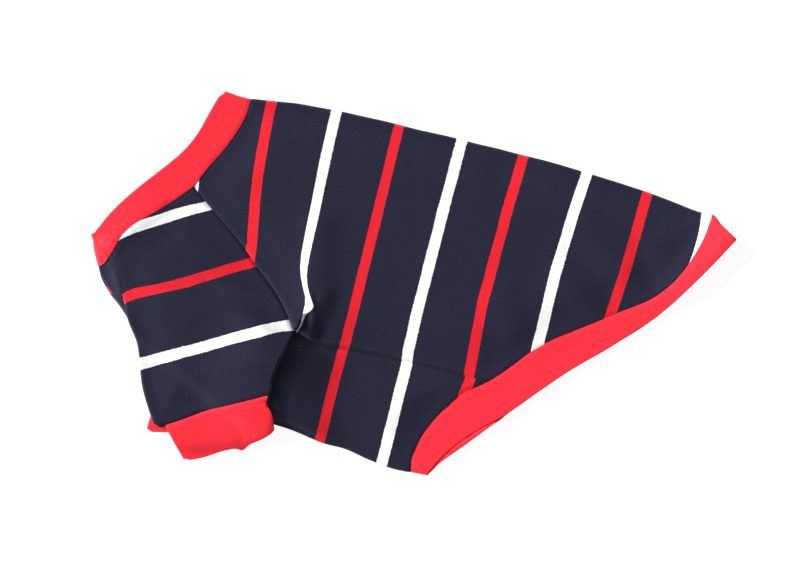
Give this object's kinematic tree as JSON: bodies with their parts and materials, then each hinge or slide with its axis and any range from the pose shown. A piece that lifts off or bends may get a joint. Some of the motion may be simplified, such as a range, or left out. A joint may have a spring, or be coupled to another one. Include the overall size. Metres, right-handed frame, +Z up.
{
  "type": "dog t-shirt",
  "caption": "Small dog's shirt in striped sweatshirt knit with raglan sleeves and ribbed neck, cuff and hem bands, laid flat on its side.",
  "frame": {"origin": "on the surface that the shirt lies on, under the middle of its outline", "axes": "+Z up off the surface, through the thin stack of cloth; +X along the back from the neck to the tail; +Y towards the folded back edge; the shirt's left side is up"},
  "size_m": [0.485, 0.2946, 0.0122],
  "materials": {
    "striped_knit": "matt navy sweatshirt knit with narrow red and white stripes in turn",
    "rib_knit": "matt red fine rib knit, folded double"
  },
  "bodies": {
    "root": {"back_panel": "striped_knit", "belly_panel": "striped_knit", "sleeve_left": "striped_knit", "sleeve_right": "striped_knit", "neckband": "rib_knit", "hem_band": "rib_knit", "cuff_left": "rib_knit", "cuff_right": "rib_knit"}
  },
  "joints": []
}
